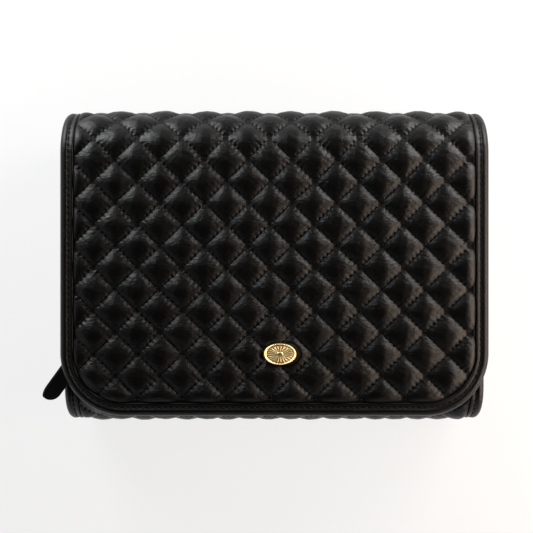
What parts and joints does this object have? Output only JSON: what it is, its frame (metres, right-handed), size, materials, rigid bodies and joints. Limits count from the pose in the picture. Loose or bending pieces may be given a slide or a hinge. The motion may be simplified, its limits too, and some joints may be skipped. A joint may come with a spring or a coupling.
{
  "type": "jewellery case",
  "caption": "Quilted leather jewellery case lying on its back: a padded fold-over flap closes over a lined tray with a ring roll and a zipped front pocket.",
  "frame": {"origin": "middle of the back's resting face, between the side edges and between the two folds", "axes": "+X across the case to the right, +Y from the bottom fold to the top fold, +Z out of the resting face towards the flap"},
  "size_m": [0.2394, 0.1724, 0.053],
  "materials": {
    "quilted_leather": "soft grained black, padded and sewn in diamonds",
    "binding_leather": "smooth black, rolled edge",
    "board": "stiff grey board",
    "suede_lining": "taupe microsuede",
    "elastic": "woven black band",
    "smooth_leather": "smooth black strap",
    "zip_tape": "woven black tape",
    "gold_metal": "polished pale gold",
    "steel": "plated"
  },
  "bodies": {
    "case": {"back_cover": "quilted_leather", "bottom_cover": "quilted_leather", "lip_cover": "quilted_leather", "back_binding": "binding_leather", "bottom_binding": "binding_leather", "lip_binding": "binding_leather", "zip_facing_lower": "binding_leather", "zip_facing_upper": "binding_leather", "side_wall_left": "binding_leather", "side_wall_right": "binding_leather", "back_board": "board", "lip_board": "board", "back_lining": "suede_lining", "bottom_lining": "suede_lining", "lip_lining": "suede_lining", "pocket_partition": "suede_lining", "earring_pad": "suede_lining", "ring_roll_loop_pad": "elastic", "zip_tape_lower": "zip_tape", "zip_tape_upper": "zip_tape", "zip_teeth_lower": "gold_metal", "zip_teeth_upper": "gold_metal", "zip_stops": "gold_metal", "ring_roll_pivot": "gold_metal", "lip_magnets": "steel"},
    "flap": {"flap_cover": "quilted_leather", "flap_board": "board", "flap_lining": "suede_lining", "flap_binding": "binding_leather", "flap_magnets": "steel", "badge_plate": "gold_metal", "badge_washers": "steel", "slip_pocket": "suede_lining", "slip_pocket_elastic": "elastic"},
    "spine_1": {"spine_cover_1": "quilted_leather", "spine_lining_1": "suede_lining", "spine_binding_1": "binding_leather"},
    "spine_2": {"spine_cover_2": "quilted_leather", "spine_lining_2": "suede_lining", "spine_binding_2": "binding_leather"},
    "spine_3": {"spine_cover_3": "quilted_leather", "spine_lining_3": "suede_lining", "spine_binding_3": "binding_leather"},
    "zip_slider": {"zip_slider": "gold_metal"},
    "zip_pull": {"pull_ring": "gold_metal", "pull_tab": "smooth_leather", "pull_rivet": "gold_metal"},
    "ring_roll": {"ring_roll": "suede_lining", "ring_roll_strap": "smooth_leather", "ring_roll_hook_pad": "elastic"}
  },
  "joints": [
    {"name": "flap_open", "type": "hinge", "parent": "case", "child": "spine_1", "pos_m": [0, 0.06957, 0.0041], "axis": [-1, 0, 0], "range_deg": [0, 45]},
    {"name": "spine_fold_2", "type": "hinge", "parent": "spine_1", "child": "spine_2", "pos_m": [0, 0.0824, 0.01693], "axis": [-1, 0, 0], "range_deg": [0, 45]},
    {"name": "spine_fold_3", "type": "hinge", "parent": "spine_2", "child": "spine_3", "pos_m": [0, 0.0824, 0.03507], "axis": [-1, 0, 0], "range_deg": [0, 45]},
    {"name": "flap_fold", "type": "hinge", "parent": "spine_3", "child": "flap", "pos_m": [0, 0.06957, 0.0479], "axis": [-1, 0, 0], "range_deg": [0, 45]},
    {"name": "zip_slide", "type": "slide", "parent": "case", "child": "zip_slider", "axis": [1, 0, 0], "range_m": [0, 0.187]},
    {"name": "pull_tab_swing", "type": "hinge", "parent": "zip_slider", "child": "zip_pull", "pos_m": [-0.0972, -0.036, 0.0424], "axis": [0, 0, 1], "range_deg": [-50, 35]},
    {"name": "ring_roll_swing", "type": "hinge", "parent": "case", "child": "ring_roll", "pos_m": [0.09, 0.042, 0.0122], "axis": [0, 0, 1], "range_deg": [0, 15]}
  ],
  "couplings": [
    {"joint": "spine_fold_2", "follows": "flap_open", "ratio": 1},
    {"joint": "spine_fold_3", "follows": "flap_open", "ratio": 1},
    {"joint": "flap_fold", "follows": "flap_open", "ratio": 1}
  ]
}
